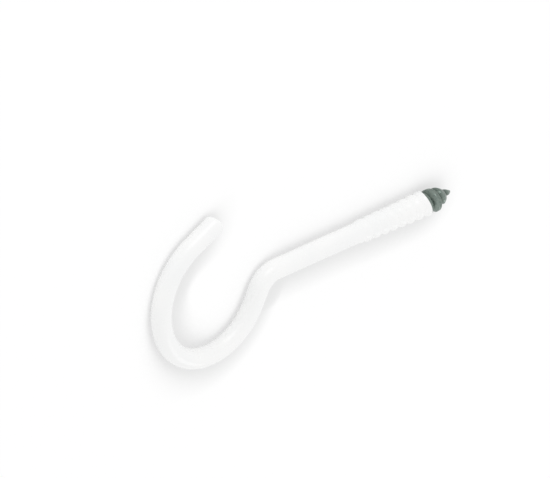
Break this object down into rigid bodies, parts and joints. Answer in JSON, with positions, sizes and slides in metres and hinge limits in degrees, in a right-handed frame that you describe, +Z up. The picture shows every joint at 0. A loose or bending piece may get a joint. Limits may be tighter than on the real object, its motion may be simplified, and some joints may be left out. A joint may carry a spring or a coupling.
{
  "type": "screw hook",
  "caption": "White plastic-coated steel wire hook with a necked round bend and a wood-screw end, for hanging things from wood.",
  "frame": {"origin": "on the screw's axis where the thread starts, which is the wall surface once the hook is screwed in", "axes": "+X along the screw's axis towards its point, +Y in the hook's plane towards the side of the free arm, +Z up, square to the hook's plane, with the hook lying flat"},
  "size_m": [0.0981, 0.0393, 0.0064],
  "materials": {
    "bare_steel": "bare dark steel, satin",
    "white_plastic": "smooth dipped plastic, semi-gloss"
  },
  "bodies": {
    "root": {"steel_hook": "bare_steel", "white_coating": "white_plastic"}
  },
  "joints": []
}
